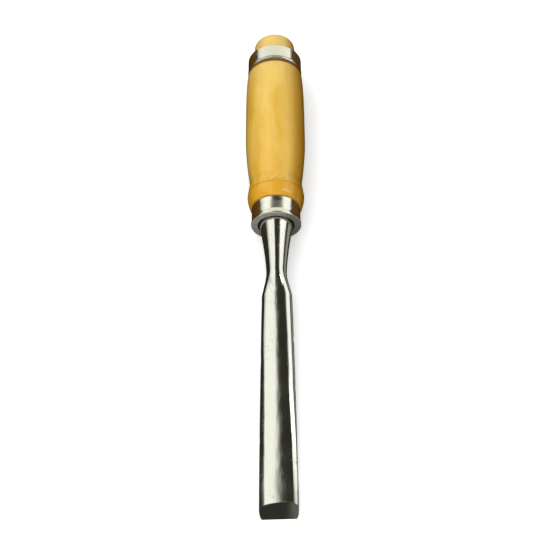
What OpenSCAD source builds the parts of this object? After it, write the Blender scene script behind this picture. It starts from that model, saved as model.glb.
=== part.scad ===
// Firmer-style wood chisel with a hooped handle.
// The tool lies along Y: cutting edge at y = 0, butt towards +Y.
// The flat back of the blade is the plane z = 0 and its crowned face looks towards +Z.

/* [Blade] */
// Widest width of the blade, just behind the cutting edge
blade_width = 16.4; // [12:0.2:20]
// Width of the blade at its shoulders
shoulder_width = 13.9; // [11:0.1:14]
// Distance from the cutting edge to the shoulders
blade_length = 103; // [80:1:105]
// Thickness of the blade at the middle of its tip, before the bevel
tip_thickness = 3.3; // [2.4:0.1:4]
// Thickness of the blade at the shoulders
shoulder_thickness = 6.2; // [4.5:0.1:7]
// Angle between the ground bevel and the flat back
bevel_angle = 30; // [25:1:35]

/* [Neck and bolster] */
// Height of the tool's axis above the flat back
axis_height = 3.2; // [2.5:0.1:4.5]
// Smallest diameter of the round neck
neck_diameter = 9.5; // [7:0.1:10]
// Distance from the cutting edge to the thinnest part of the neck
neck_y = 114.5; // [112:0.5:120]
// Diameter of the conical bolster where it meets the wood
bolster_diameter = 16.4; // [13:0.2:17]

/* [Tang] */
// Length of the square tang inside the handle
tang_length = 58; // [35:1:80]
// Side of the tang at the bolster
tang_root = 7; // [5:0.5:9]
// Side of the tang at its point
tang_point = 3.5; // [2:0.5:4.5]

/* [Ferrule] */
// Distance from the cutting edge to the front face of the ferrule
ferrule_y = 140.5; // [138:0.5:145]
// Length of the ferrule
ferrule_length = 9.7; // [8:0.1:14]
// Outer diameter of the ferrule at the middle of its length
ferrule_diameter = 23.3; // [22:0.1:24]
// Wall thickness of the ferrule
ferrule_wall = 1.2; // [0.8:0.1:1.6]
// Diameter of the hole in the turned-in front of the ferrule
ferrule_hole = 17.6; // [17.2:0.1:18.4]

/* [Handle] */
// Largest diameter of the barrel
barrel_diameter = 29.6; // [28:0.2:34]
// Diameter of the bead behind the ferrule
bead_diameter = 27.4; // [26:0.2:30]
// Diameter of the valley between the bead and the barrel
valley_diameter = 25.3; // [24:0.1:26]
// Diameter at the rear end of the barrel
barrel_end_diameter = 28.1; // [27.8:0.1:29]
// Distance from the cutting edge to the rear end of the barrel
barrel_end_y = 231; // [225:1:240]
// Length of wood that stands out behind the striking hoop
butt_length = 12.4; // [6:0.2:16]
// Diameter of the wood inside the striking hoop
butt_diameter = 22.6; // [20:0.2:24]

/* [Striking hoop] */
// Length of the hoop
hoop_length = 8.8; // [7:0.1:12]
// Outer diameter of the hoop
hoop_diameter = 27.5; // [26.8:0.1:28]

/* [Hidden] */

steel = [0.72, 0.72, 0.68];
plated_steel = [0.86, 0.85, 0.80];
varnished_wood = [0.93, 0.72, 0.30];

neck_r = neck_diameter / 2;
bolster_r = bolster_diameter / 2;
ferrule_r = ferrule_diameter / 2;
ferrule_inner_r = ferrule_r - ferrule_wall;
ferrule_hole_r = ferrule_hole / 2;
hoop_r = hoop_diameter / 2;
butt_r = butt_diameter / 2;
valley_r = valley_diameter / 2;
bead_r = bead_diameter / 2;
barrel_r = barrel_diameter / 2;
barrel_end_r = barrel_end_diameter / 2;

// Stations along the axis
lip_thickness = 1.4;                            // turned-in front of the ferrule
tenon_y = ferrule_y + lip_thickness;            // front end of the wood, bearing on the bolster
bead_y = ferrule_y + ferrule_length;            // rear edge of the ferrule
bead_crest_y = bead_y + 7;
valley_y = bead_y + 14;
barrel_swell_y = valley_y + 28;                 // the barrel reaches its full diameter here
barrel_fall_y = barrel_end_y - 23;              // and starts to narrow again here
hoop_y = barrel_end_y + 3;                      // front face of the hoop
hoop_end_y = hoop_y + hoop_length;
butt_end_y = hoop_end_y + butt_length;

// ---- Outline of the forging, station by station ----

section_points = 48;
bore_fn = 96;

function mix(a, b, u) = a + (b - a) * u;
function clamp01(u) = min(1, max(0, u));
function smooth(u) = let (c = clamp01(u)) c * c * (3 - 2 * c);

// 0 on the blade, 1 on the round neck
function flare_u(y) = clamp01((y - blade_length) / (neck_y - blade_length));
// 0 at the thinnest part of the neck, 1 at the rear face of the bolster
function cone_u(y) = clamp01((y - neck_y) / (tenon_y - neck_y));

function cone_r(y) = mix(neck_r, bolster_r, pow(cone_u(y), 1.5));

blade_taper_power = 1.6;
function blade_half_width(y) =
    mix(blade_width, shoulder_width, pow(clamp01(y / blade_length), blade_taper_power)) / 2;

function blade_thickness(y) =
    mix(tip_thickness, shoulder_thickness, clamp01(y / blade_length));

// Share of the flare that is left at a station: a rounded corner, then a long fillet
function flare_left(y) = let (u = flare_u(y)) (1 - u) * (1 - u) * (1 + u);

// Height of the widest line, as a share of the thickness: the crown is low at the tip
tip_widest_share = 0.72;
shoulder_widest_share = 0.36;
shape_length = 0.6 * blade_length;
function widest_share(y) =
    mix(tip_widest_share, shoulder_widest_share, smooth(y / shape_length));

under_depth_share = 1.9;        // sets how far the sides lean in towards the flat back

function half_width(y) =
    y > neck_y ? cone_r(y) : mix(neck_r, blade_half_width(y), flare_left(y));
function widest_z(y) =
    mix(widest_share(y) * blade_thickness(y), axis_height, smooth(flare_u(y)));
function top_z(y) =
    y > neck_y ? axis_height + cone_r(y)
               : mix(blade_thickness(y), axis_height + neck_r, smooth(flare_u(y)));
function under_depth(y) =
    y > neck_y ? cone_r(y)
               : mix(under_depth_share * widest_share(y) * blade_thickness(y),
                     neck_r, smooth(flare_u(y)));

// Squareness of the section: 2 is an ellipse, larger is boxier
blade_squareness = 2.6;
function squareness(y) = mix(blade_squareness, 2, smooth(flare_u(y)));

function rounded_power(v, n) = sign(v) * pow(abs(v), 2 / n);

// One closed section in the plane of a station
function section(y) = [
    for (i = [0:section_points - 1])
        let (t = 360 * i / section_points, n = squareness(y), s = sin(t))
        [
            half_width(y) * rounded_power(cos(t), n),
            y,
            widest_z(y) + (s > 0 ? top_z(y) - widest_z(y) : under_depth(y)) * rounded_power(s, n)
        ]
];

blade_stations = [for (i = [-1:10]) blade_length * i / 10];
flare_stations = [for (i = [1:9]) mix(blade_length, neck_y, i / 9)];
cone_stations = [for (i = [1:10]) mix(neck_y, tenon_y, i / 10)];
stations = concat(blade_stations, flare_stations, cone_stations);

// A solid skinned over sections that all have the same number of points
module skin(rings) {
    n = len(rings[0]);
    last = len(rings) - 1;
    sides = [
        for (r = [0:last - 1], i = [0:n - 1])
            let (j = (i + 1) % n, a = r * n, b = (r + 1) * n)
            each [[a + i, b + j, b + i], [a + i, a + j, b + j]]
    ];
    front = [[for (i = [n - 1:-1:0]) i]];
    rear = [[for (i = [0:n - 1]) last * n + i]];
    polyhedron([for (ring = rings) each ring], concat(sides, front, rear));
}

// Turns an outline of [y, radius] points about the tool's axis
module turned(outline) {
    translate([0, 0, axis_height])
        rotate([-90, 0, 0])
            rotate_extrude($fn = bore_fn)
                polygon([for (p = outline) [p[1], p[0]]]);
}

// ---- Sub-parts ----

back_end_y = blade_length + 2;      // where the ground back runs out
runout_radius = 14;                 // wheel radius of the run-out
cutter_depth = 20;
cutter_width = 60;

// Everything that grinding removes to make the flat back
module back_cutter() {
    translate([-cutter_width / 2, -cutter_depth, -cutter_depth])
        cube([cutter_width, back_end_y + cutter_depth, cutter_depth]);
    translate([-cutter_width / 2, back_end_y, -runout_radius])
        rotate([0, 90, 0])
            cylinder(h = cutter_width, r = runout_radius, $fn = bore_fn);
}

// Everything that grinding removes to make the bevel
module bevel_cutter() {
    translate([-cutter_width / 2, 0, 0])
        rotate([bevel_angle, 0, 0])
            translate([0, -cutter_depth, 0])
                cube([cutter_width, 2 * cutter_depth, cutter_depth]);
}

tang_bury = 1;      // how far the tang is carried into the bolster

module tang() {
    translate([0, tenon_y, axis_height])
        rotate([-90, 45, 0])
            linear_extrude(height = tang_length, scale = tang_point / tang_root)
                square(tang_root, center = true);
}

module tang_root_block() {
    translate([0, tenon_y - tang_bury, axis_height])
        rotate([-90, 45, 0])
            linear_extrude(height = tang_bury)
                square(tang_root, center = true);
}

module blade() {
    color(steel) {
        difference() {
            skin([for (y = stations) section(y)]);
            back_cutter();
            bevel_cutter();
        }
        tang_root_block();
        tang();
    }
}

ferrule_flare = 0.3;        // the front rim stands proud of the tube by this much
rear_flare = 0.1;
rim_round = 0.6;
flare_length = 3;

module ferrule() {
    rim_r = ferrule_r + ferrule_flare;
    color(plated_steel)
        turned(concat(
            [[ferrule_y, ferrule_hole_r], [ferrule_y, rim_r - rim_round]],
            [for (a = [15:15:90]) [ferrule_y + rim_round * (1 - cos(a)), rim_r - rim_round * (1 - sin(a))]],
            [for (u = [0.25:0.25:1])
                [ferrule_y + mix(rim_round, flare_length, u), rim_r - ferrule_flare * smooth(u)]],
            [[bead_y - flare_length, ferrule_r], [bead_y, ferrule_r + rear_flare]],
            [[bead_y, ferrule_inner_r], [tenon_y, ferrule_inner_r], [tenon_y, ferrule_hole_r]]
        ));
}

bead_foot_r = bead_r - 1.4;         // radius of the bead at the ferrule
bead_rear_power = 1.1;              // over 1 the bead falls to the valley in a slight hollow
barrel_fall_power = 2.7;

function bead_front_r(y) =
    mix(bead_foot_r, bead_r, sin(90 * pow(clamp01((y - bead_y) / (bead_crest_y - bead_y)), 0.9)));
function bead_rear_r(y) =
    mix(valley_r, bead_r,
        pow(clamp01((valley_y - y) / (valley_y - bead_crest_y)), bead_rear_power));
function barrel_front_r(y) =
    mix(valley_r, barrel_r, sin(90 * clamp01((y - valley_y) / (barrel_swell_y - valley_y))));
function barrel_rear_r(y) =
    mix(barrel_r, barrel_end_r,
        pow(clamp01((y - barrel_fall_y) / (barrel_end_y - barrel_fall_y)), barrel_fall_power));

heel_round = 1.8;           // rounding of the barrel's rear edge
butt_taper = 0.9;           // the wood behind the hoop narrows by this much in radius
butt_round = 2.6;           // rounding of the end of the butt
butt_dome = 0.8;            // crown of the end face

module handle() {
    butt_side_r = butt_r - butt_taper;
    round_y = butt_end_y - butt_dome - butt_round;
    cap_r = butt_side_r - butt_round;
    color(varnished_wood)
        difference() {
            turned(concat(
                [[tenon_y, 0], [tenon_y, ferrule_inner_r], [bead_y, ferrule_inner_r]],
                [for (i = [0:8]) let (y = mix(bead_y, bead_crest_y, i / 8)) [y, bead_front_r(y)]],
                [for (i = [1:8]) let (y = mix(bead_crest_y, valley_y, i / 8)) [y, bead_rear_r(y)]],
                [for (i = [1:12]) let (y = mix(valley_y, barrel_swell_y, i / 12)) [y, barrel_front_r(y)]],
                [for (i = [0:8]) let (y = mix(barrel_fall_y, barrel_end_y, i / 8)) [y, barrel_rear_r(y)]],
                [for (a = [15:15:75])
                    [barrel_end_y + heel_round * sin(a), barrel_end_r - heel_round * (1 - cos(a))]],
                [[hoop_y, barrel_end_r - heel_round], [hoop_y, butt_r], [hoop_end_y, butt_r]],
                [for (a = [0:15:75])
                    [round_y + butt_round * sin(a), butt_side_r - butt_round * (1 - cos(a))]],
                [for (u = [0:0.25:1]) [butt_end_y - butt_dome * (1 - u) * (1 - u), cap_r * (1 - u)]]
            ));
            tang();
        }
}

lip_round = 0.7;            // rounding of the hoop's front lip
lip_proud = 0.15;           // the lip stands this much above the rest of the hoop
hoop_edge = 0.4;            // chamfer of the rear edge

module striking_hoop() {
    lip_r = hoop_r + lip_proud;
    color(plated_steel)
        turned(concat(
            [[hoop_y, butt_r], [hoop_y, lip_r - lip_round]],
            [for (a = [15:15:165])
                [hoop_y + lip_round * (1 - cos(a)), lip_r - lip_round * (1 - sin(a))]],
            [[hoop_y + 2 * lip_round, hoop_r]],
            [[hoop_end_y - hoop_edge, hoop_r], [hoop_end_y, hoop_r - hoop_edge], [hoop_end_y, butt_r]]
        ));
}

blade();
ferrule();
handle();
striking_hoop();
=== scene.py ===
"""The looks of a firmer-style wood chisel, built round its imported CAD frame.

The tool lies along +Y: cutting edge at y = 0, butt towards +Y, flat back on z = 0.
Lengths are written in millimetres and turned into metres by MM.
"""
import math

import bmesh
import bpy
import numpy as np
from mathutils import Euler, Matrix, Vector, noise


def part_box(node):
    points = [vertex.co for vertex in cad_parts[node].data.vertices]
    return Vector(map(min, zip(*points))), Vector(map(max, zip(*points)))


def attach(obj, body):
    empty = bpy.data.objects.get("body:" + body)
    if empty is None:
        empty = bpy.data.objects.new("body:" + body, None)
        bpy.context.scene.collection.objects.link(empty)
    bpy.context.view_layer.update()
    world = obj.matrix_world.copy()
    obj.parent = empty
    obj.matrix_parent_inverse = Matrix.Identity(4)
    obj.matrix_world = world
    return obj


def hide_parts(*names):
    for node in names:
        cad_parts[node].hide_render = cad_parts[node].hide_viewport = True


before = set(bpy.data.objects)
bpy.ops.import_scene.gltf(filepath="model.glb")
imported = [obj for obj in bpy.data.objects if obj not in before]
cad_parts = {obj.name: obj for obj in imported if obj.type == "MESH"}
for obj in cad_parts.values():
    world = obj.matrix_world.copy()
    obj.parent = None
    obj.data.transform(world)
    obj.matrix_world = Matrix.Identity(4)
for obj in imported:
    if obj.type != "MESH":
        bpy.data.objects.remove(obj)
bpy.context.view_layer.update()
MM = 0.001


# ---------------------------------------------------------------- sizes, from the frame

def in_mm(node):
    """A CAD node's lowest and highest corners, in millimetres."""
    return [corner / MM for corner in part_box(node)]


ferrule_lo, ferrule_hi = in_mm("ferrule")
handle_lo, handle_hi = in_mm("handle")
hoop_lo, hoop_hi = in_mm("striking_hoop")
blade_lo, blade_hi = in_mm("blade")

AXIS_Z = (handle_lo.z + handle_hi.z) / 2
BLADE_WIDTH = blade_hi.x - blade_lo.x
FERRULE_Y = ferrule_lo.y
BEAD_Y = ferrule_hi.y
FERRULE_RIM_R = (ferrule_hi.x - ferrule_lo.x) / 2
TENON_Y = handle_lo.y
BUTT_END_Y = handle_hi.y
BARREL_R = (handle_hi.x - handle_lo.x) / 2
HOOP_Y = hoop_lo.y
HOOP_END_Y = hoop_hi.y
HOOP_LIP_R = (hoop_hi.x - hoop_lo.x) / 2
TANG_END_Y = blade_hi.y

# Sizes that no box shows, as the CAD has them
SHOULDER_WIDTH = 13.9
BLADE_LENGTH = 103.0
TIP_THICKNESS = 3.3
SHOULDER_THICKNESS = 6.2
BEVEL_ANGLE = math.radians(30)
NECK_R = 4.75
NECK_Y = 114.5
BOLSTER_R = 8.2
TANG_ROOT = 7.0
TANG_POINT = 3.5
FERRULE_R = 11.65
FERRULE_WALL = 1.2
FERRULE_HOLE_R = 8.8
BEAD_R = 13.7
BEAD_FOOT_R = 12.3
VALLEY_R = 12.65
BARREL_END_R = 14.05
BUTT_R = 11.3
HOOP_R = 13.75
BEAD_CREST_Y = BEAD_Y + 7
VALLEY_Y = BEAD_Y + 14
BARREL_SWELL_Y = VALLEY_Y + 28
BARREL_END_Y = HOOP_Y - 3
BARREL_FALL_Y = BARREL_END_Y - 23

# Shares and powers that shape the curves, as the CAD has them
TIP_WIDEST_SHARE = 0.72         # height of the widest line, as a share of the thickness
SHOULDER_WIDEST_SHARE = 0.36
SHAPE_LENGTH = 0.6 * BLADE_LENGTH
BLADE_TAPER_POWER = 1.6
UNDER_SHARE = 1.9               # depth below the widest line, as a share of that line's height
CONE_POWER = 1.5
BEAD_FRONT_POWER = 0.9
BEAD_REAR_POWER = 1.1
BARREL_FALL_POWER = 2.7


# ---------------------------------------------------------------- small tools

def mix(a, b, u):
    return a + (b - a) * u


def clamp01(u):
    return min(1.0, max(0.0, u))


def smooth(u):
    c = clamp01(u)
    return c * c * (3 - 2 * c)


def spread(a, b, count):
    """count values from a to b, both ends included."""
    return [mix(a, b, i / (count - 1)) for i in range(count)]


def wobble(x, y, z, scale, seed=0.0):
    """Smooth noise of about -1 to 1 whose features are about `scale` millimetres apart."""
    return noise.noise(Vector((x / scale + seed, y / scale, z / scale)))


def new_object(name, points, faces, smooth_below=math.radians(32)):
    """A mesh object from points in millimetres, smooth except across edges sharper than the limit."""
    mesh = bpy.data.meshes.new(name)
    mesh.from_pydata([tuple(c * MM for c in p) for p in points], [], faces)
    mesh.validate()
    obj = bpy.data.objects.new(name, mesh)
    bpy.context.scene.collection.objects.link(obj)
    bm = bmesh.new()
    bm.from_mesh(mesh)
    bmesh.ops.recalc_face_normals(bm, faces=bm.faces)
    bm.to_mesh(mesh)
    bm.free()
    mesh.shade_smooth()
    mesh.set_sharp_from_angle(angle=smooth_below)
    return obj


def skin(rings, loop=False):
    """Points and faces of a surface over equal rings: capped at both ends, or joined end to start."""
    n = len(rings[0])
    points = [p for ring in rings for p in ring]
    bands = len(rings) if loop else len(rings) - 1
    faces = []
    for r in range(bands):
        a = r * n
        b = ((r + 1) % len(rings)) * n
        for i in range(n):
            j = (i + 1) % n
            faces.append((a + i, a + j, b + j, b + i))
    if not loop:
        faces.append(tuple(range(n)))
        faces.append(tuple((len(rings) - 1) * n + i for i in range(n)))
    return points, faces


def circle(y, r, count, rough=0.0, seed=0.0):
    """A ring about the tool's axis; rough is how far it falls short of round, in millimetres."""
    ring = []
    for i in range(count):
        a = 2 * math.pi * i / count
        x, z = math.cos(a), math.sin(a)
        rr = r - rough * (0.5 + 0.5 * wobble(x * 12, y, z * 12, 9.0, seed))
        ring.append((rr * x, y, AXIS_Z + rr * z))
    return ring


def rounded_corner(y0, r0, y1, r1, corner_y, corner_r, steps=6):
    """Points of a quadratic curve from one outline point to another round their corner."""
    found = []
    for u in spread(0, 1, steps):
        a, b, c = (1 - u) ** 2, 2 * u * (1 - u), u * u
        found.append((a * y0 + b * corner_y + c * y1, a * r0 + b * corner_r + c * r1))
    return found


# ---------------------------------------------------------------- the forging

UPPER_POINTS = 97       # across the top and both sides of a section
LOWER_POINTS = 31       # across the back
EDGE_EASE = 0.16        # how far the long edges of the back are eased
EASE_SLANT = 0.1        # how far that ease leans in, as a share of it
BACK_END_Y = BLADE_LENGTH + 2
RUNOUT_RADIUS = 14.0
ROUND = 2.0             # the exponent that makes a section round
SQUARENESS = 2.3        # the exponent of the blade's section, a little rounder than in the CAD
CROWN_TILT = math.tan(math.radians(2.2))        # the crown is a little higher on its right
FACET_FADE_Y = 20.0     # the belt facets are whole up to here
FACET_FADE_LENGTH = 80.0
RIGHT_FACET_FROM, RIGHT_FACET_SLOPE = 0.74, math.tan(math.radians(13))
LEFT_FACET_FROM, LEFT_FACET_SLOPE = 0.70, math.tan(math.radians(6))
FULLEST_ANGLE = math.radians(78)                # a section goes at most this far below its widest line
SECTION_SAMPLES = 600


def flare_u(y):
    return clamp01((y - BLADE_LENGTH) / (NECK_Y - BLADE_LENGTH))


def cone_r(y):
    return mix(NECK_R, BOLSTER_R, clamp01((y - NECK_Y) / (TENON_Y - NECK_Y)) ** CONE_POWER)


def thickness(y):
    return mix(TIP_THICKNESS, SHOULDER_THICKNESS, clamp01(y / BLADE_LENGTH))


def section_sizes(y):
    """Half width, height of the widest line, height of the top, depth below the widest line, squareness."""
    if y > NECK_Y:
        r = cone_r(y)
        return r, AXIS_Z, AXIS_Z + r, r, ROUND
    u = flare_u(y)
    s = smooth(u)
    left = (1 - u) ** 2 * (1 + u)
    half = mix(BLADE_WIDTH, SHOULDER_WIDTH, clamp01(y / BLADE_LENGTH) ** BLADE_TAPER_POWER) / 2
    t = thickness(y)
    widest = mix(TIP_WIDEST_SHARE, SHOULDER_WIDEST_SHARE, smooth(y / SHAPE_LENGTH)) * t
    return (
        mix(NECK_R, half, left),
        mix(widest, AXIS_Z, s),
        mix(t, AXIS_Z + NECK_R, s),
        mix(UNDER_SHARE * widest, NECK_R, s),
        mix(SQUARENESS, ROUND, s),
    )


def ground_z(y):
    """Height of the ground back: flat, then the curve of the wheel's run-out."""
    past = y - BACK_END_Y
    if past <= 0:
        return 0.0
    if past >= RUNOUT_RADIUS:
        return -RUNOUT_RADIUS
    return -RUNOUT_RADIUS + math.sqrt(RUNOUT_RADIUS ** 2 - past ** 2)


def resample(xs, zs, count):
    """The same outline as count points, evenly spaced along it."""
    steps = np.hypot(np.diff(xs), np.diff(zs))
    along = np.concatenate([[0], np.cumsum(steps)])
    at = np.linspace(0, along[-1], count)
    return np.interp(at, along, xs), np.interp(at, along, zs)


def belt_facets(xs, y, half):
    """Depth of two flats along the shoulders of the crown, which fade out towards the neck."""
    fade = 1 - smooth((y - FACET_FADE_Y) / FACET_FADE_LENGTH)
    right = np.maximum(0, xs - RIGHT_FACET_FROM * half) * RIGHT_FACET_SLOPE
    left = np.maximum(0, -xs - LEFT_FACET_FROM * half) * LEFT_FACET_SLOPE
    return fade * (right + left)


def rounded_power(v, square):
    """A sine or cosine bent so that the outline it draws is squarer than round."""
    return np.sign(v) * np.abs(v) ** (2 / square)


def section(y):
    """One ring of the forging: over the top from right to left, then back across the underside."""
    half, widest, top, under, square = section_sizes(y)
    floor_z = ground_z(y)
    share = clamp01((widest - floor_z) / under)
    t0 = min(math.asin(share ** (square / 2)), FULLEST_ANGLE)
    t = np.linspace(-t0, math.pi + t0, SECTION_SAMPLES)
    xs = half * rounded_power(np.cos(t), square)
    zs = widest + np.where(np.sin(t) > 0, top - widest, under) * rounded_power(np.sin(t), square)
    zs = zs * (1 + (CROWN_TILT * (1 - smooth(flare_u(y))) * xs - belt_facets(xs, y, half)) / top)
    xs, zs = resample(xs, zs, UPPER_POINTS)
    ease = EDGE_EASE * (1 - smooth(flare_u(y)))
    if ease > 0:
        xs[0] -= ease * EASE_SLANT
        zs[0] += ease
        xs[-1] += ease * EASE_SLANT
        zs[-1] += ease
    lower_t = np.linspace(math.pi + t0, 2 * math.pi - t0, LOWER_POINTS + 2)[1:-1]
    low_x = half * rounded_power(np.cos(lower_t), square)
    low_z = widest + under * rounded_power(np.sin(lower_t), square)
    corner = half * math.cos(t0) ** (2 / square)
    flat_x = np.linspace(-corner + ease, corner - ease, LOWER_POINTS)
    on_wheel = low_z < floor_z
    low_x = np.where(on_wheel, flat_x, low_x)
    low_z = np.where(on_wheel, floor_z, low_z)
    return list(zip(xs, zs)) + list(zip(low_x, low_z))


NICKS = [               # y, side, depth and length of small dings in the long edges
    (81.0, 1, 0.30, 1.0),
    (57.0, 1, 0.10, 1.6),
    (70.5, -1, 0.12, 2.2),
    (33.0, -1, 0.09, 1.3),
    (22.0, 1, 0.08, 1.0),
]


def worked(x, y, z, half):
    """A point of the forging moved by hand polishing and by small dings."""
    fade = smooth((y - 3) / 12) * (1 - smooth((y - TENON_Y + 8) / 6))
    if z > 0.3:
        z += fade * (0.030 * wobble(x * 1.3, y, 0, 13.0, 3.1) + 0.010 * wobble(x * 2, y, 0, 5.0, 7.7))
        x += fade * 0.035 * wobble(0, y, 0, 16.0, 11.0 if x > 0 else 19.0) * abs(x) / half
    for at, side, depth, length in NICKS:
        near = math.exp(-((y - at) / length) ** 2)
        edge = smooth((x * side / half - 0.86) / 0.1)
        x -= side * depth * near * edge
    return x, y, z


def square_ring(y, side, count):
    """A square ring, its corners rounded a little, standing on one corner."""
    ring = []
    for i in range(count):
        a = 2 * math.pi * i / count
        c, s = math.cos(a), math.sin(a)
        r = side / math.sqrt(2) / (abs(c) ** 1.1 + abs(s) ** 1.1) ** (1 / 1.1)
        ring.append((r * c, y, AXIS_Z + r * s))
    return ring


def forging_stations():
    found = spread(-8, 8, 30) + spread(9, BLADE_LENGTH - 2, 110)
    found += spread(BLADE_LENGTH - 1.5, NECK_Y, 60)
    found += spread(NECK_Y + 0.5, TENON_Y, 50)
    return found


def make_forging():
    rings = []
    for y in forging_stations():
        half = section_sizes(y)[0]
        rings.append([worked(x, y, z, half) for x, z in section(y)])
    count = len(rings[0])
    rings.append(square_ring(TENON_Y, TANG_ROOT, count))
    rings.append(square_ring(TANG_END_Y, TANG_POINT, count))
    points, faces = skin(rings)
    obj = new_object("blade_forging", points, faces)
    grind_bevel(obj)
    return obj


def grind_bevel(obj):
    """Cuts the bevel plane through the cutting edge and closes the cut with one flat face."""
    normal = Vector((0, -math.sin(BEVEL_ANGLE), math.cos(BEVEL_ANGLE)))
    bm = bmesh.new()
    bm.from_mesh(obj.data)
    cut = bmesh.ops.bisect_plane(
        bm,
        geom=bm.verts[:] + bm.edges[:] + bm.faces[:],
        plane_co=(0, 0, 0),
        plane_no=normal,
        clear_outer=True,
        dist=1e-7,
    )
    edges = [e for e in cut["geom_cut"] if isinstance(e, bmesh.types.BMEdge)]
    made = bmesh.ops.holes_fill(bm, edges=edges, sides=0)
    bmesh.ops.triangulate(bm, faces=made["faces"])
    bmesh.ops.recalc_face_normals(bm, faces=bm.faces)
    bm.to_mesh(obj.data)
    bm.free()
    obj.data.shade_smooth()
    obj.data.set_sharp_from_angle(angle=math.radians(22))


# ---------------------------------------------------------------- the rings

RING_SEGMENTS = 160
REAR_FLARE = 0.1        # how far the ferrule opens at its rear edge


def make_ferrule():
    inner = FERRULE_R - FERRULE_WALL
    y, rim, rear = FERRULE_Y, FERRULE_RIM_R, FERRULE_R + REAR_FLARE
    outline = rounded_corner(y + 0.25, FERRULE_HOLE_R, y, FERRULE_HOLE_R + 0.25, y, FERRULE_HOLE_R)
    outline += [(y, r) for r in spread(FERRULE_HOLE_R + 0.5, rim - 0.9, 8)]
    outline += rounded_corner(y, rim - 0.6, y + 0.6, rim, y, rim, 8)
    outline += [(y + v, mix(rim, FERRULE_R, smooth((v - 0.6) / 2.4))) for v in spread(0.8, 3.0, 8)]
    outline += [(v, FERRULE_R) for v in spread(y + 3.4, BEAD_Y - 3.2, 6)]
    outline += [
        (v, mix(FERRULE_R, rear, smooth((v - BEAD_Y + 3) / 3)))
        for v in spread(BEAD_Y - 2.8, BEAD_Y - 0.3, 6)
    ]
    outline += rounded_corner(BEAD_Y - 0.2, rear, BEAD_Y, FERRULE_R - REAR_FLARE, BEAD_Y, rear, 4)
    outline += [(BEAD_Y, inner), (TENON_Y, inner), (TENON_Y, FERRULE_HOLE_R)]
    rings = [circle(v, r, RING_SEGMENTS, 0.03, 4.0) for v, r in outline]
    points, faces = skin(rings, loop=True)
    return new_object("ferrule_cap", points, faces)


LIP_ROUND = 0.7
HOOP_EDGE = 0.4


def make_hoop():
    y, lip = HOOP_Y, HOOP_LIP_R
    outline = [(y, BUTT_R), (y, lip - LIP_ROUND)]
    outline += [
        (y + LIP_ROUND * (1 - math.cos(a)), lip - LIP_ROUND * (1 - math.sin(a)))
        for a in spread(0.15, math.radians(155), 14)
    ]
    outline += [(v, HOOP_R) for v in spread(y + 2 * LIP_ROUND + 0.15, HOOP_END_Y - HOOP_EDGE - 0.2, 10)]
    outline += rounded_corner(
        HOOP_END_Y - HOOP_EDGE, HOOP_R, HOOP_END_Y, HOOP_R - HOOP_EDGE, HOOP_END_Y, HOOP_R, 6
    )
    outline += [(HOOP_END_Y, r) for r in spread(HOOP_R - HOOP_EDGE - 0.2, BUTT_R, 5)]
    rings = [circle(v, r, RING_SEGMENTS, 0.04, 9.0) for v, r in outline]
    points, faces = skin(rings, loop=True)
    return new_object("hoop_ring", points, faces)


# ---------------------------------------------------------------- the handle

HANDLE_SEGMENTS = 176
HEEL_ROUND = 1.8
BUTT_TAPER = 0.9
BUTT_ROUND = 2.6
BUTT_DOME = 0.8


def bead_r(y):
    if y < BEAD_CREST_Y:
        u = clamp01((y - BEAD_Y) / (BEAD_CREST_Y - BEAD_Y)) ** BEAD_FRONT_POWER
        return mix(BEAD_FOOT_R, BEAD_R, math.sin(math.pi / 2 * u))
    u = clamp01((VALLEY_Y - y) / (VALLEY_Y - BEAD_CREST_Y)) ** BEAD_REAR_POWER
    return mix(VALLEY_R, BEAD_R, u)


def barrel_r(y):
    if y < BARREL_SWELL_Y:
        u = clamp01((y - VALLEY_Y) / (BARREL_SWELL_Y - VALLEY_Y))
        return mix(VALLEY_R, BARREL_R, math.sin(math.pi / 2 * u))
    u = clamp01((y - BARREL_FALL_Y) / (BARREL_END_Y - BARREL_FALL_Y))
    return mix(BARREL_R, BARREL_END_R, u ** BARREL_FALL_POWER)


def handle_outline():
    inner = FERRULE_R - FERRULE_WALL
    side = BUTT_R - BUTT_TAPER
    round_y = BUTT_END_Y - BUTT_DOME - BUTT_ROUND
    cap = side - BUTT_ROUND
    found = [(TENON_Y, inner), (BEAD_Y, inner)]
    found += [(BEAD_Y, r) for r in spread(inner + 0.3, BEAD_FOOT_R - 0.2, 5)]
    found += [(y, bead_r(y)) for y in spread(BEAD_Y + 0.05, BEAD_CREST_Y, 28)]
    found += [(y, bead_r(y)) for y in spread(BEAD_CREST_Y + 0.25, VALLEY_Y - 0.02, 26)]
    found += [(y, barrel_r(y)) for y in spread(VALLEY_Y + 0.02, VALLEY_Y + 1, 4)]
    found += [(y, barrel_r(y)) for y in spread(VALLEY_Y + 1.3, BARREL_END_Y, 86)]
    found += [
        (BARREL_END_Y + HEEL_ROUND * math.sin(a), BARREL_END_R - HEEL_ROUND * (1 - math.cos(a)))
        for a in spread(0.15, math.radians(82), 9)
    ]
    found += [(HOOP_Y, BARREL_END_R - HEEL_ROUND), (HOOP_Y, BUTT_R), (HOOP_END_Y, BUTT_R)]
    found += [(y, mix(BUTT_R, side, (y - HOOP_END_Y) / (round_y - HOOP_END_Y)))
              for y in spread(HOOP_END_Y + 0.4, round_y, 8)]
    found += [
        (round_y + BUTT_ROUND * math.sin(a), side - BUTT_ROUND * (1 - math.cos(a)))
        for a in spread(0.15, math.radians(80), 9)
    ]
    found += [(BUTT_END_Y - BUTT_DOME * (1 - u) ** 2, cap * (1 - u)) for u in spread(0.04, 0.98, 9)]
    return found


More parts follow.
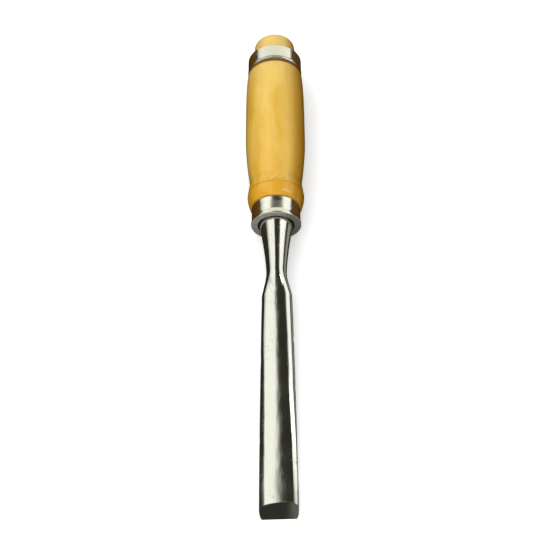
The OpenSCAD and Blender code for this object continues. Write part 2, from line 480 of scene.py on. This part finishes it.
def make_handle():
    rings = [square_ring(TANG_END_Y, TANG_POINT, HANDLE_SEGMENTS)]
    rings.append(square_ring(TENON_Y, TANG_ROOT, HANDLE_SEGMENTS))
    for y, r in handle_outline():
        rough = 0.0 if r < BEAD_FOOT_R - 0.3 else 0.05
        rings.append(circle(y, r, HANDLE_SEGMENTS, rough, 21.0))
    points, faces = skin(rings)
    return new_object("turned_handle", points, faces, math.radians(40))


# ---------------------------------------------------------------- material tools

class Paint:
    """A material and short calls for its nodes."""

    def __init__(self, name):
        self.material = bpy.data.materials.new(name)
        self.material.use_nodes = True
        self.tree = self.material.node_tree
        self.shader = self.tree.nodes["Principled BSDF"]
        self.coords = self.add("ShaderNodeTexCoord").outputs["Object"]

    def add(self, kind, **settings):
        node = self.tree.nodes.new(kind)
        for key, value in settings.items():
            setattr(node, key, value)
        return node

    def link(self, source, target):
        self.tree.links.new(source, target)

    def put(self, target, value):
        """Links an output to a socket, or sets the socket to a plain value."""
        if isinstance(value, bpy.types.NodeSocket):
            self.link(value, target)
        else:
            target.default_value = value

    def stretched(self, per_mm):
        """Object coordinates times the given number of units per millimetre along x, y and z."""
        node = self.add("ShaderNodeMapping")
        self.link(self.coords, node.inputs["Vector"])
        node.inputs["Scale"].default_value = [v / MM for v in per_mm]
        return node.outputs["Vector"]

    def noise(self, per_mm, detail=3.0, roughness=0.55, distortion=0.0, shift=(0, 0, 0)):
        vector = self.stretched(per_mm)
        if any(shift):
            move = self.add("ShaderNodeVectorMath", operation="ADD")
            self.link(vector, move.inputs[0])
            move.inputs[1].default_value = shift
            vector = move.outputs[0]
        node = self.add("ShaderNodeTexNoise")
        self.link(vector, node.inputs["Vector"])
        node.inputs["Scale"].default_value = 1.0
        node.inputs["Detail"].default_value = detail
        node.inputs["Roughness"].default_value = roughness
        node.inputs["Distortion"].default_value = distortion
        return node.outputs["Fac"]

    def spots(self, per_mm):
        """Distance to the nearest of a scatter of points."""
        node = self.add("ShaderNodeTexVoronoi")
        self.link(self.stretched(per_mm), node.inputs["Vector"])
        node.inputs["Scale"].default_value = 1.0
        return node.outputs["Distance"]

    def math(self, operation, a, b=0.0, clamp=False):
        node = self.add("ShaderNodeMath", operation=operation, use_clamp=clamp)
        self.put(node.inputs[0], a)
        self.put(node.inputs[1], b)
        return node.outputs[0]

    def ramp(self, value, low, high, to_low=0.0, to_high=1.0):
        """Maps low..high smoothly to to_low..to_high."""
        node = self.add("ShaderNodeMapRange", interpolation_type="SMOOTHSTEP")
        self.put(node.inputs["Value"], value)
        for name, v in (("From Min", low), ("From Max", high), ("To Min", to_low), ("To Max", to_high)):
            node.inputs[name].default_value = v
        return node.outputs["Result"]

    def blend(self, fac, a, b):
        """Colour a, and colour b as far as fac says; a colour is an output or a plain tuple."""
        node = self.add("ShaderNodeMix", data_type="RGBA")
        self.put(node.inputs["Factor"], fac)
        for name, colour in (("A", a), ("B", b)):
            socket = next(s for s in node.inputs if s.name == name and s.type == "RGBA")
            self.put(socket, (*colour, 1) if isinstance(colour, tuple) else colour)
        return next(s for s in node.outputs if s.type == "RGBA")

    def split(self):
        """x, y and z of the object coordinates, in millimetres."""
        node = self.add("ShaderNodeSeparateXYZ")
        self.link(self.stretched((1, 1, 1)), node.inputs[0])
        return node.outputs

    def bump(self, height, depth_mm, strength=1.0, before=None):
        node = self.add("ShaderNodeBump")
        self.put(node.inputs["Height"], height)
        node.inputs["Strength"].default_value = strength
        node.inputs["Distance"].default_value = depth_mm * MM
        if before is not None:
            self.link(before, node.inputs["Normal"])
        return node.outputs["Normal"]

    def finish(self, colour, roughness, normal, **values):
        self.put(self.shader.inputs["Base Color"], colour)
        self.put(self.shader.inputs["Roughness"], roughness)
        if normal is not None:
            self.link(normal, self.shader.inputs["Normal"])
        for name, value in values.items():
            self.shader.inputs[name.replace("_", " ")].default_value = value
        return self.material


# ---------------------------------------------------------------- materials

def blade_steel():
    """Polished forging: lengthwise polish, small pits and stains, and a coarser, darker ground bevel whose
    right end is lightened by a painted reflection.
    """
    p = Paint("blade_steel")
    x, y, z = p.split()
    polish = p.noise((3.0, 0.05, 3.0), detail=4)
    haze = p.noise((0.25, 0.10, 0.25), detail=4, shift=(5, 2, 0))
    grit = p.noise((2.2, 1.6, 2.2), detail=5, roughness=0.7)
    pit = p.ramp(p.spots((0.9, 0.7, 0.9)), 0.12, 0.24, 1.0, 0.0)
    patch = p.ramp(p.noise((0.12, 0.08, 0.12), detail=3, shift=(0, 9, 4)), 0.50, 0.62)
    pit = p.math("MULTIPLY", pit, patch)

    plane = p.math("SUBTRACT", p.math("MULTIPLY", z, math.cos(BEVEL_ANGLE)),
                   p.math("MULTIPLY", y, math.sin(BEVEL_ANGLE)))
    on_bevel = p.math("GREATER_THAN", plane, -0.012)
    grind = p.noise((0.5, 7.0, 7.0), detail=4, shift=(1, 0, 3))

    colour = p.blend(haze, (0.74, 0.74, 0.68), (0.82, 0.82, 0.76))
    colour = p.blend(p.math("MULTIPLY", pit, 0.7), colour, (0.22, 0.21, 0.17))
    # painted reflection: the ground bevel grows lighter and less metallic towards its right end
    right_painted_light = p.ramp(x, 0.15 * BLADE_WIDTH, 0.42 * BLADE_WIDTH)
    ground = p.blend(grind, (0.22, 0.23, 0.20), (0.34, 0.35, 0.31))
    ground = p.blend(p.math("MULTIPLY", right_painted_light, 0.6), ground, (0.62, 0.62, 0.57))
    colour = p.blend(on_bevel, colour, ground)

    rough = p.math("ADD", p.ramp(polish, 0.3, 0.7, 0.08, 0.13), p.ramp(haze, 0.35, 0.75, 0.0, 0.06))
    rough = p.math("ADD", rough, p.math("MULTIPLY", pit, 0.25))
    rough = p.math("ADD", rough, p.math("MULTIPLY", on_bevel, 0.06))
    smooth_side = p.bump(polish, 0.0025)
    pitted = p.bump(p.math("SUBTRACT", grit, p.math("MULTIPLY", pit, 2.5)), 0.004, before=smooth_side)
    marked = p.bump(p.math("MULTIPLY", grind, on_bevel), 0.006, before=pitted)
    dull = p.math("ADD", 0.05, p.math("MULTIPLY", right_painted_light, 0.10))
    p.put(p.shader.inputs["Metallic"], p.math("SUBTRACT", 1.0, p.math("MULTIPLY", on_bevel, dull)))
    return p.finish(colour, rough, marked)


def plated_steel(name, haze_depth, front_y=None):
    """Nickel plate over turned steel; the front face, where there is one, is greyer and speckled, and painted
    shade darkens it towards its right.
    """
    p = Paint(name)
    x, y, _ = p.split()
    lines = p.noise((0.04, 6.0, 0.04), detail=4, shift=(0, 3, 0))
    haze = p.noise((0.35, 0.25, 0.35), detail=4)
    fine = p.noise((3.5, 3.5, 3.5), detail=4, roughness=0.7)
    colour = p.blend(haze, (0.80, 0.79, 0.70), (0.88, 0.87, 0.78))
    rough = p.math("ADD", p.ramp(lines, 0.3, 0.7, haze_depth, haze_depth + 0.05),
                   p.ramp(haze, 0.4, 0.8, 0.0, 0.06))
    height = p.math("ADD", p.math("MULTIPLY", lines, 0.6), p.math("MULTIPLY", fine, 0.3))
    if front_y is not None:
        face = p.ramp(y, front_y + 0.15, front_y + 0.3, 1.0, 0.0)
        # painted shade: the face's speckle fades to dark towards its right side
        speckle_and_shade = p.math("SUBTRACT", p.ramp(fine, 0.42, 0.60), p.ramp(x, 2, 9, 0.0, 0.9), clamp=True)
        colour = p.blend(face, colour, p.blend(speckle_and_shade, (0.30, 0.30, 0.25), (0.95, 0.95, 0.89)))
        rough = p.math("ADD", rough, p.math("MULTIPLY", face, 0.22))
        height = p.math("ADD", height, p.math("MULTIPLY", p.math("MULTIPLY", face, fine), 4.0))
        p.put(p.shader.inputs["Metallic"], p.math("SUBTRACT", 1.0, p.math("MULTIPLY", face, 0.85)))
    else:
        p.shader.inputs["Metallic"].default_value = 1.0
    return p.finish(colour, rough, p.bump(height, 0.003))


def varnished_wood():
    """Honey-coloured straight-grained wood under gloss varnish."""
    p = Paint("varnished_wood")
    x, y, _ = p.split()
    cloud = p.ramp(p.noise((0.09, 0.035, 0.09), detail=3, distortion=0.9), 0.28, 0.72)
    streaks = p.noise((1.1, 0.035, 1.1), detail=5, roughness=0.6, distortion=0.3)
    fibres = p.noise((5.0, 0.12, 5.0), detail=4, shift=(3, 1, 7))
    tide = p.noise((0.22, 0.02, 0.22), detail=4, distortion=1.2, shift=(8, 0, 2))

    colour = p.blend(cloud, (0.80, 0.45, 0.035), (0.92, 0.60, 0.105))
    colour = p.blend(p.ramp(streaks, 0.40, 0.72, 0.0, 0.36), colour, (0.74, 0.40, 0.03))
    colour = p.blend(p.ramp(fibres, 0.50, 0.80, 0.0, 0.26), colour, (0.66, 0.34, 0.03))
    colour = p.blend(p.ramp(tide, 0.48, 0.52, 0.0, 0.12), colour, (0.95, 0.66, 0.16))

    # the bead is oranger, most on its front, and the butt end paler
    near_bead = p.ramp(y, BEAD_CREST_Y - 0.5, BEAD_CREST_Y + 2.5, 1.0, 0.15)
    near_bead = p.math("MULTIPLY", near_bead, p.ramp(y, VALLEY_Y, VALLEY_Y + 14, 1.0, 0.0))
    colour = p.blend(p.math("MULTIPLY", near_bead, 0.75), colour, (0.80, 0.38, 0.012))
    # painted shade: a dark line along the bead's crest; the valley behind the bead is a little darker too
    on_crest = p.math("MULTIPLY", p.ramp(y, BEAD_CREST_Y - 0.1, BEAD_CREST_Y + 0.3),
                      p.ramp(y, BEAD_CREST_Y + 0.4, BEAD_CREST_Y + 1.0, 1.0, 0.0))
    in_valley = p.math("MULTIPLY", p.ramp(y, VALLEY_Y - 0.5, VALLEY_Y),
                       p.ramp(y, VALLEY_Y, VALLEY_Y + 0.4, 1.0, 0.0))
    crest_shade_and_valley = p.math("ADD", p.math("MULTIPLY", on_crest, 0.45), p.math("MULTIPLY", in_valley, 0.10))
    colour = p.blend(crest_shade_and_valley, colour, (0.42, 0.17, 0.008))
    at_butt = p.ramp(y, BARREL_END_Y - 30, BUTT_END_Y - 4, 0.0, 0.55)
    colour = p.blend(at_butt, colour, (0.90, 0.66, 0.22))
    # painted shadow in the groove between the barrel's end and the hoop
    groove_shadow = p.math("MULTIPLY", p.ramp(y, BARREL_END_Y + 0.4, BARREL_END_Y + 1.6),
                       p.ramp(y, HOOP_Y + 0.1, HOOP_Y + 0.5, 1.0, 0.0))
    colour = p.blend(p.math("MULTIPLY", groove_shadow, 0.75), colour, (0.10, 0.045, 0.012))

    # painted shade: the wood is browner towards its right side
    right_painted_light = p.ramp(x, 0.35 * BARREL_R, 0.95 * BARREL_R, 0.0, 0.6)
    colour = p.blend(right_painted_light, colour, (0.72, 0.30, 0.01))

    # painted shadow: the tenon's face, seen through the ferrule's hole, is near black
    hole_shadow = p.math("MULTIPLY", p.ramp(y, TENON_Y + 0.3, TENON_Y + 0.6, 1.0, 0.0), 0.95)
    colour = p.blend(hole_shadow, colour, (0.02, 0.014, 0.008))

    # torn fibres stand dark beside the bead, and a few specks lie elsewhere
    torn = p.ramp(p.noise((2.6, 0.16, 2.6), detail=2, shift=(2, 5, 1)), 0.60, 0.68)
    by_valley = p.math("MULTIPLY", p.ramp(y, BEAD_CREST_Y - 1.5, BEAD_CREST_Y + 1.5),
                       p.ramp(y, VALLEY_Y - 3.5, VALLEY_Y, 1.0, 0.0))
    colour = p.blend(p.math("MULTIPLY", p.math("MULTIPLY", torn, by_valley), 0.7), colour, (0.30, 0.14, 0.02))
    speck = p.ramp(p.spots((0.10, 0.06, 0.10)), 0.025, 0.045, 1.0, 0.0)
    colour = p.blend(p.math("MULTIPLY", speck, 0.8), colour, (0.16, 0.07, 0.015))

    rough = p.math("ADD", p.ramp(y, BEAD_CREST_Y, VALLEY_Y + 14, 0.11, 0.28),
                   p.ramp(streaks, 0.3, 0.7, 0.0, 0.08))
    height = p.math("ADD", p.math("MULTIPLY", fibres, 0.5), p.math("MULTIPLY", torn, by_valley))
    return p.finish(
        colour, rough, p.bump(height, 0.02, 0.6),
        IOR=1.5, Specular_IOR_Level=0.5,
    )


# ---------------------------------------------------------------- putting the pieces on the frame

def dress(obj, material, node):
    obj.data.materials.append(material)
    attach(obj, "root")
    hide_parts(node)


dress(make_forging(), blade_steel(), "blade")
dress(make_ferrule(), plated_steel("ferrule_plate", 0.15, FERRULE_Y), "ferrule")
dress(make_handle(), varnished_wood(), "handle")
dress(make_hoop(), plated_steel("hoop_plate", 0.14), "striking_hoop")


# ---------------------------------------------------------------- floor, lights and camera

ROLL = math.radians(4.5)            # the camera and the lights are turned by this much about the tool
RIG = Matrix.Translation((0, 0, AXIS_Z * MM)) @ Matrix.Rotation(ROLL, 4, "Y")


def place(obj, matrix):
    bpy.context.scene.collection.objects.link(obj)
    obj.matrix_world = matrix


FLOOR_HALF = 4000.0
FLOOR_GAP = 0.05        # the floor stays this far below the cutting edge
FLOOR_GLOW = 0.36


def sheet_object(name, corners):
    """A flat mesh object from its corners in millimetres, not yet placed."""
    mesh = bpy.data.meshes.new(name)
    mesh.from_pydata([tuple(c * MM for c in p) for p in corners], [], [tuple(range(len(corners)))])
    return bpy.data.objects.new(name, mesh)


def make_floor():
    """A pale sheet that runs from the tip down to just under the ferrule or the bead."""
    slope = max(
        math.atan2(FERRULE_RIM_R - AXIS_Z, FERRULE_Y),
        math.atan2(BEAD_R - AXIS_Z, BEAD_CREST_Y),
    )
    signs = ((-1, -1), (1, -1), (1, 1), (-1, 1))
    floor = sheet_object("floor", [(sx * FLOOR_HALF, sy * FLOOR_HALF, 0) for sx, sy in signs])
    place(floor, Matrix.Translation((0, 0, -FLOOR_GAP * MM)) @ Matrix.Rotation(-slope, 4, "X"))
    p = Paint("floor_paper")
    tone = p.noise((0.002, 0.002, 0.002), detail=2)
    paper = p.blend(tone, (0.93, 0.93, 0.93), (0.95, 0.95, 0.95))
    p.finish(paper, 0.9, None, Emission_Color=(1, 1, 1, 1), Emission_Strength=FLOOR_GLOW)
    floor.data.materials.append(p.material)
    floor.visible_glossy = floor.visible_diffuse = False


WHITE, CREAM, BROWN = (1, 1, 0.94), (1, 0.99, 0.86), (1, 0.42, 0.05)
DARK_ROOM = (0.028, 0.028, 0.018)
BACKDROP_Y = 655.0
BACKDROP_TOP = 665.0
SIDE_X = 430.0                      # where the side boxes' feet and the backdrop's sides stand
LAMP_GLOW = 5.5
LAMP_FRONT, LAMP_BACK = 212, 238
TABLE_GLOW = 0.30
BROWN_X = 60.0                      # two low sheets beside the handle that warm its flanks
ROOM_X = 1500.0                     # half width of the dim room
ROOM_FRONT_Y = -1500.0
ROOM_GLOW, ROOM_FOOT_GLOW = 0.6, 0.55
KEY_RADIANCE = 1.55
KEY_STAND = (-150, -60, 640)        # from the cutting edge towards the key light
KEY_SHIFT = (0, 120, 0)             # then this far along the tool
KEY_SIZE = (3.4, 1.2)               # in metres


def card(name, corners, glow, colour):
    """A glowing sheet that only reflections see.

    glow is its radiance, or the (height, radiance) pairs between which the radiance changes.
    """
    sheet = sheet_object(name, corners)
    place(sheet, RIG)
    p = Paint(name)
    if isinstance(glow, tuple):
        (z0, low), (z1, high) = glow
        glow = p.ramp(p.split()[2], z0, z1, low, high)
    p.put(p.shader.inputs["Emission Strength"], glow)
    p.finish((0, 0, 0, 1), 1.0, None, Emission_Color=(*colour, 1), Specular_IOR_Level=0.0)
    sheet.data.materials.append(p.material)
    sheet.visible_camera = sheet.visible_diffuse = sheet.visible_shadow = False


def softbox(name, low, high, y_low, y_high, glow):
    """A sheet beside the tool from low to high, each (x, z); its near edge runs from y_low to y_high."""
    (x0, z0), (x1, z1) = low, high
    corners = [(x0, y_low, z0), (x1, y_high, z1), (x1, BACKDROP_Y, z1), (x0, BACKDROP_Y, z0)]
    card(name, corners, glow, WHITE)


def beside(x, y0, y1, z0, z1):
    """Corners of an upright sheet that runs along the tool at x."""
    return [(x, y0, z0), (x, y1, z0), (x, y1, z1), (x, y0, z1)]


def across(y, half, z0, z1):
    """Corners of an upright sheet that stands across the tool's line at y."""
    return [(-half, y, z0), (half, y, z0), (half, y, z1), (-half, y, z1)]


def overhead(half, y0, y1, z):
    """Corners of a level sheet above the tool."""
    return [(-half, y0, z), (half, y0, z), (half, y1, z), (-half, y1, z)]


def main_cards():
    """The sheets whose reflections draw the bright bands on the steel in the main view."""
    softbox("left_box", (-SIDE_X, 110), (-275, 1160), 290, 20, ((110, 0.70), (330, 1.16)))
    softbox("right_box", (SIDE_X, 140), (346, 720), 170, 170, ((480, 1.14), (720, 0.12)))
    card("backdrop", across(BACKDROP_Y, SIDE_X, 60, BACKDROP_TOP),
         ((380, 0.93), (BACKDROP_TOP, 0.78)), CREAM)
    near_lamp = [(195, LAMP_FRONT, 438), (195, LAMP_BACK, 438), (424, LAMP_BACK, 225), (424, LAMP_FRONT, 225)]
    card("right_lamp", near_lamp, LAMP_GLOW, WHITE)


def room_cards():
    """A dim room for the other views. The main view sees a little of it, most on the ferrule and hoop."""
    rising = ((50, ROOM_FOOT_GLOW), (1100, ROOM_GLOW))
    for name, x in (("room_left", -ROOM_X), ("room_right", ROOM_X)):
        card(name, beside(x, -1200, 250, 50, 1100), rising, WHITE)
    card("room_top", overhead(700, -250, 100, 1500), ROOM_GLOW, WHITE)
    front = ((50, ROOM_FOOT_GLOW), (1000, ROOM_GLOW))
    card("room_front", across(ROOM_FRONT_Y, ROOM_X, 50, 1000), front, WHITE)


def low_cards():
    """Brown sheets close beside the handle, and a pale one at table height on the right."""
    for name, x in (("left_brown", -BROWN_X), ("right_brown", BROWN_X)):
        card(name, beside(x, 176, 380, -90, 12), ((-90, 0.05), (12, 0.11)), BROWN)
    low = [(28, 20, -13), (420, 20, -13), (420, 385, -13), (28, 154, -13)]
    card("table_glow", low, TABLE_GLOW, WHITE)


def key_light():
    """A large soft light above and to the left, for the matt surfaces alone."""
    stand, shift = Vector(KEY_STAND) * MM, Vector(KEY_SHIFT) * MM
    light = bpy.data.lights.new("key", "AREA")
    light.shape = "RECTANGLE"
    light.size, light.size_y = KEY_SIZE
    light.energy = KEY_RADIANCE * math.pi * light.size * light.size_y
    key = bpy.data.objects.new("key", light)
    aim = stand.to_track_quat("Z", "Y").to_matrix().to_4x4()
    place(key, RIG @ Matrix.Translation(stand + shift) @ aim)
    key.visible_camera = key.visible_glossy = False


def make_lights():
    main_cards()
    room_cards()
    low_cards()
    key_light()
    world = bpy.data.worlds.new("studio")
    world.use_nodes = True
    world.node_tree.nodes["Background"].inputs["Color"].default_value = (*DARK_ROOM, 1)
    bpy.context.scene.world = world


def make_camera():
    """Looks down on the tool from beyond its tip, with the tool's axis upright in the picture."""
    height, behind, aside = 405.0, 124.0, -2.4
    pitch, yaw = math.radians(59.6), math.radians(-0.4)
    data = bpy.data.cameras.new("camera")
    data.lens, data.sensor_width = 66.65, 36.0
    data.clip_start, data.clip_end = 0.01, 50
    camera = bpy.data.objects.new("camera", data)
    turn = Matrix.Rotation(yaw, 4, "Z") @ Euler((math.pi / 2 - pitch, 0, 0)).to_matrix().to_4x4()
    place(camera, RIG @ Matrix.Translation(Vector((aside, -behind, height)) * MM) @ turn)
    bpy.context.scene.camera = camera


make_floor()
make_lights()
make_camera()
bpy.context.scene.view_settings.view_transform = "Standard"
